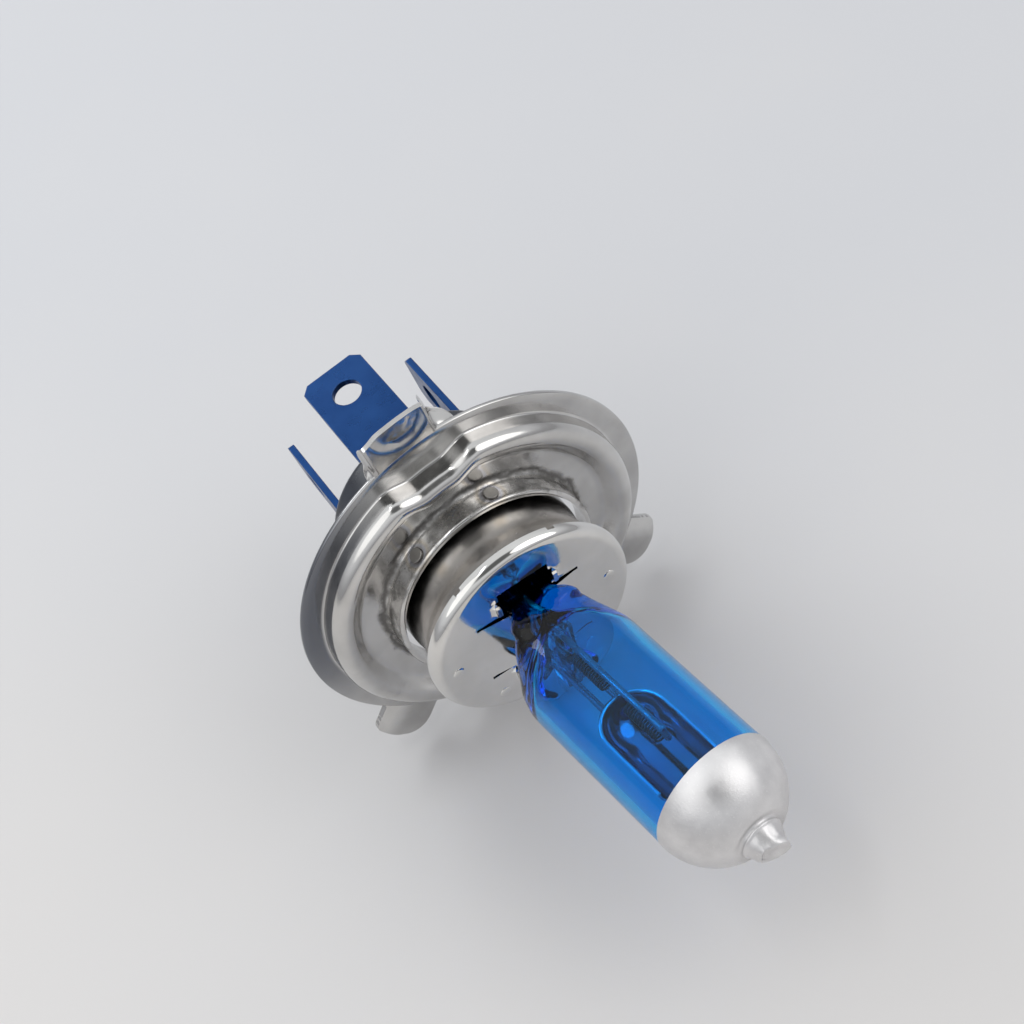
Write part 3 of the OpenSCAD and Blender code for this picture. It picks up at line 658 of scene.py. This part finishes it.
def focus_ring():
    front, back = ring_line(0), ring_line(SHEET)
    me = revolve("focus_ring_shell", front + back[::-1], ROW, 288, ring_place)
    add_piece("focus_ring_shell", me, M["ring"], "focus_ring", 50)
    for name, (pts, faces) in (("top_lug", top_lug_patch()), ("lower_lug_right", lower_lug_patch(1)),
                               ("lower_lug_left", lower_lug_patch(-1))):
        lug = add_piece(name, mesh_of(name, pts, faces, ROW), M["ring"], None, 50)
        round_edges(lug, 0.10, 2, 75)


focus_ring()


# ---------------------------------------------------------------- sleeve and plate
def sleeve():
    """A drawn cup, slightly waisted, with a flange under the plate."""
    def line(o):
        flare = [(10.9 - 0.22 * step(z, 3.2, 5.0) + 0.34 * step(z, 5.2, 8.4) + 0.45 * step(z, 8.0, 10.2), z)
                 for z in (3.2 + 0.35 * i for i in range(20))]
        return [(10.9 - o, -6.2)] + [(r - o, z) for r, z in flare] + arc(11.0 - o, 9.95, 0.5, 5, 90, 5)
    outer = line(0)[:-1] + [(11.5, 10.5), (11.2, 10.88), (8.4, 10.88)]
    inner = [(8.4, 10.5), (10.8, 10.45), (11.05, 10.0), (10.9, 9.2), (10.62, 8.3), (10.25, 7.2), (10.5, 6.2),
             (10.5, -6.2)]
    me = revolve("sleeve_cup", outer + inner, ROW, 192)
    add_piece("sleeve_cup", me, M["sleeve"], "sleeve", 55)


def small_clips(x, y, z):
    """Draws each curled clip in to the size that the finished plate has."""
    mid, length, height = 5.9, 0.62, 0.7
    if z > PLATE_TOP + 0.02 and abs(y) > 4.7 and abs(x) > 2.4:
        return (x, math.copysign(mid + (abs(y) - mid) * length, y), PLATE_TOP + (z - PLATE_TOP) * height)
    return (x, y, z)


sleeve()
softened("holder_plate", M["plate"], 0.09, "holder_plate_soft", 3,
         reshape=(SEAL, small_clips))
softened("plate_welds", M["plate"], 0.05, "plate_weld_spots")
softened("collar_welds", M["weld"], 0.12, "collar_weld_spots", 3)
softened("insulator", M["insulator"], 0.18, "insulator_body", 3)
for k, nm in (("terminal_low_beam", "top_contact"), ("terminal_high_beam", "right_contact"),
              ("terminal_ground", "left_contact")):
    softened(k, M["contact"], 0.11, nm, 3)


# ---------------------------------------------------------------- glass
TUBE, WALL, DOME_Z, SHOULDER, PINCH, PINCH_BACK = 7.1, 1.0, 39.4, 20.4, 12.3, 2.7
ROUND, INNER_ROUND = 144, 96  # points in a ring of the glass


def superellipse(a, b, n, count, groove=0.0, end=0.0):
    """A rounded box of half sizes a and b, with grooved faces and dented ends where asked."""
    ring = []
    for i in range(count):
        t = 2 * math.pi * i / count
        c, s = math.cos(t), math.sin(t)
        x = a * math.copysign(abs(c) ** (2 / n), c)
        y = b * math.copysign(abs(s) ** (2 / n), s)
        if groove:
            x -= math.copysign(groove * (1 - step(abs(y), b - 1.7, b - 1.15)), x) * step(abs(x), 0, a * 0.5)
        if end:
            y -= math.copysign(end * (1 - step(abs(x), 0.55, 1.25)), y) * step(abs(y), b * 0.6, b * 0.85)
        ring.append((x, y))
    return ring


def outer_glass_rings(count):
    """The pinch with its ribs, and the shoulder that opens into the tube."""
    rings = []
    stops = [PINCH_BACK + 0.25 * i for i in range(39)] + [PINCH + 0.25 * i for i in range(1, 33)]
    for z in stops:
        t = min(1, max(0, (z - PINCH) / (SHOULDER - PINCH)))
        a = 2.8 + 4.3 * math.sin(math.pi / 2 * t)
        b = 5.6 + 1.5 * step(z, PINCH - 1, PINCH + 4.2)
        n = 2 + 7 * (1 - step(z, PINCH - 0.5, PINCH + 5.2)) ** 1.6
        fade = 1 - step(z, PINCH - 0.4, PINCH + 4.6)
        ring = superellipse(a, b, n, count, 0.9 * fade, 0.7 * fade)
        edge = 0.25 * (1 - step(z, PINCH_BACK, PINCH_BACK + 0.3))
        wob = step(z, PINCH - 1, PINCH + 1) * (1 - step(z, PINCH + 4, SHOULDER))
        out = []
        for x, y in ring:
            k = 1 - edge / 4 + 0.022 * wob * noise.noise(Vector((x * 0.55, y * 0.55, z * 0.4)))
            out.append((x * k, y * k, z))
        rings.append(out)
    return rings


def round_ring(r, z, count, rough=0.0):
    """A circle, uneven by the share 'rough'."""
    out = []
    for i in range(count):
        t = 2 * math.pi * i / count
        k = 1 + rough * noise.noise(Vector((2.2 * math.cos(t), 2.2 * math.sin(t), z * 1.6 + 1.7)))
        out.append((r * math.cos(t) * k, r * math.sin(t) * k, z))
    return out


def dome_rings(more, count):
    """The dome, its ring and the sealed nib, grown by 'more'."""
    rings = []
    r = TUBE + more
    for i in range(25):
        a = math.radians(64.5 * i / 24)
        rings.append(round_ring(r * math.cos(a), DOME_Z + r * math.sin(a), count))
    neck = ((2.62, 45.62), (2.44, 45.72), (2.34, 45.84), (2.32, 45.98), (2.36, 46.10), (2.30, 46.20),
            (2.18, 46.28), (2.12, 46.40), (2.02, 46.70), (1.86, 47.05), (1.70, 47.40), (1.54, 47.72))
    for pr, pz in neck:
        rings.append(round_ring(pr + more, pz + more, count, 0.09 * step(pz, 46.2, 47.2)))
    # the glass was pulled off at a slant, which leaves an uneven end with a small pit
    for pr, pz in ((1.44, 47.96), (1.36, 48.06), (1.24, 48.11), (1.0, 48.12), (0.74, 48.06), (0.5, 47.92),
                   (0.34, 47.84), (0.16, 47.80), (0.05, 47.79)):
        ring = round_ring(max(0.03, pr + more), pz + more, count, 0.11)
        rings.append([(x + 0.10, y, z + 0.30 * x + 0.10 * y) for x, y, z in ring])
    return rings


def inner_glass_rings(count):
    """The hollow inside, from above the pinch to the dome."""
    rings = []
    r = TUBE - WALL
    z0 = PINCH + 2.2
    for i in range(1, 25):
        z = z0 + (SHOULDER - z0) * i / 24
        t = i / 24
        a = max(0.12, r * math.sin(math.pi / 2 * t))
        b = 4.7 + (r - 4.7) * step(t, 0, 0.6)
        rings.append([(x, y, z) for x, y in superellipse(a, b, 2 + 1.2 * (1 - t), count)])
    for z in (24, 28, 32, 36):
        rings.append(round_ring(r, z, count))
    for i in range(18):
        a = math.radians(87 * i / 17)
        rings.append(round_ring(r * math.cos(a), DOME_Z + r * math.sin(a), count))
    return rings


def envelope():
    """A closed wall: the outside with the hollow inside turned inwards."""
    outer = outer_glass_rings(ROUND)
    for z in (22, 25, 28, 31, 34, 37):
        outer.append(round_ring(TUBE, z, ROUND))
    outer += dome_rings(0, ROUND)
    p1, f1 = loops(outer)
    p2, f2 = loops(inner_glass_rings(INNER_ROUND))
    base = len(p1)
    f2 = [tuple(base + k for k in reversed(f)) for f in f2]
    me = mesh_of("blue_glass_bulb", p1 + p2, f1 + f2, GLASS)
    o = bpy.data.objects.new("blue_glass_bulb", me)
    scene.collection.objects.link(o)
    me.materials.append(M["glass"])
    for p in me.polygons:
        p.use_smooth = True
    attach(o, "root")
    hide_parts("glass_envelope")


def tip_coat():
    """A thin closed skin over the dome and nib: out to the tip, and back just off the glass."""
    size = ROUND
    outer, inner = dome_rings(0.055, size), dome_rings(0.012, size)
    low = round_ring(TUBE + 0.05, DOME_Z - 0.03, size)
    rings = [low] + outer + inner[::-1]
    points = [p for r in rings for p in r]
    total, tip = len(rings), len(outer)
    faces = []
    for i in range(total):
        if i == tip:
            continue
        j = (i + 1) % total
        for k in range(size):
            q = (k + 1) % size
            faces.append((i * size + k, i * size + q, j * size + q, j * size + k))
    faces.append(tuple(tip * size + k for k in range(size)))
    faces.append(tuple((tip + 1) * size + k for k in range(size - 1, -1, -1)))
    me = mesh_of("silver_tip", points, faces, GLASS)
    add_piece("silver_tip", me, M["silver"], "tip_coating", 60)


envelope()
tip_coat()


# ---------------------------------------------------------------- filaments, shield and leads
def tube_along(name, path, r, sides, matrix):
    """A round wire along a path of points."""
    rings = []
    up = Vector((0.3, 0.2, 1)).normalized()
    for i, p in enumerate(path):
        a, b = path[max(0, i - 1)], path[min(len(path) - 1, i + 1)]
        t = (Vector(b) - Vector(a)).normalized()
        u = (up - t * up.dot(t)).normalized()
        v = t.cross(u)
        up = u
        rings.append([tuple(Vector(p) + u * r * math.cos(2 * math.pi * k / sides)
                            + v * r * math.sin(2 * math.pi * k / sides)) for k in range(sides)])
    points, faces = loops(rings)
    return mesh_of(name, points, faces, matrix)


def filament(name, node, z0):
    """A coil along the bulb from height z0, with a short straight tail at each end."""
    turns, per_turn, length, r, lift, wire = 13, 18, 4.9, 0.56, 1.1, 0.14
    path = [(0.54, lift, z0 - 0.14)]
    for i in range(turns * per_turn + 1):
        a = 2 * math.pi * i / per_turn
        path.append((r * math.cos(a), lift + r * math.sin(a), z0 + 0.05 + length * i / (turns * per_turn)))
    path.append((0.54, lift, z0 + length + 0.2))
    add_piece(name, tube_along(name, path, wire, 8, GLASS), M["tungsten"], node, 60)


filament("low_beam_coil", "low_beam_filament", 27.0)
filament("high_beam_coil", "high_beam_filament", 18.6)


def shield():
    """The dish: half a tube open upwards with a round end, its edge slightly rolled."""
    r, t, z0, length, drop, wire = 3.9, 0.25, 28.2, 7.6, 0.5, 0.24
    outer, inner = [], []
    for rr, store in ((r, outer), (r - t, inner)):
        for i in range(41):
            phi = math.pi * i / 40
            row = []
            for j in range(17):
                a = math.pi / 2 * (1 - j / 16)
                row.append((-rr * math.cos(phi) * math.cos(a), -rr * math.sin(phi) * math.cos(a) - drop,
                            z0 - rr * math.sin(a)))
            for j in range(1, 13):
                row.append((-rr * math.cos(phi), -rr * math.sin(phi) - drop, z0 + length * j / 12))
            store.append(row)
    nu = len(outer[0])
    pts = [p for row in outer for p in row] + [p for row in inner for p in row]
    off = nu * 41
    faces = []
    for i in range(40):
        for j in range(nu - 1):
            a, b, c, d = i * nu + j, i * nu + j + 1, (i + 1) * nu + j + 1, (i + 1) * nu + j
            faces += [(a, b, c, d), (a + off, d + off, c + off, b + off)]
    for i in range(40):
        a, d = i * nu + nu - 1, (i + 1) * nu + nu - 1
        faces.append((a, a + off, d + off, d))
    for j in range(nu - 1):
        faces.append((j, j + off, j + 1 + off, j + 1))
        k = 40 * nu + j
        faces.append((k + 1, k + 1 + off, k + off, k))
    me = mesh_of("beam_shield", pts, faces, GLASS)
    mid = r - t / 2
    path = [(-mid, -drop, z0 + length * (1 - i / 14)) for i in range(14)]
    turns = [math.pi * i / 40 for i in range(41)]
    path += [(-mid * math.cos(a), -drop, z0 - mid * math.sin(a)) for a in turns]
    path += [(mid, -drop, z0 + length * (i + 1) / 14) for i in range(14)]
    path = [(x, y + 0.10 * noise.noise(Vector((x, 2.0, z)) * 0.7), z) for x, y, z in path]
    rim = tube_along("rolled_rim", path, wire, 10, GLASS)
    bm = bmesh.new()
    bm.from_mesh(me)
    bmesh.ops.remove_doubles(bm, verts=bm.verts, dist=1e-7)
    bmesh.ops.recalc_face_normals(bm, faces=bm.faces)
    bm.to_mesh(me)
    bm.free()
    add_piece("beam_shield", me, M["shield"], "low_beam_shield", 50)
    add_piece("beam_shield_rim", rim, M["shield_rim_painted_glint"], None, 50)


shield()
softened("shield_support", M["moly"], 0.04, "shield_posts")
softened("lead_bridge", M["quartz"], 0.25, "quartz_bridge", 4)
softened("common_link", M["moly"], 0.0, "coil_link")
for k in ("inner_lead_low", "inner_lead_common", "inner_lead_high", "outer_lead_low", "outer_lead_common",
          "outer_lead_high"):
    softened(k, M["moly"], 0.04, k + "_wire")
for k in ("foil_low", "foil_common", "foil_high"):
    softened(k, M["foil"], 0.0, k + "_strip")
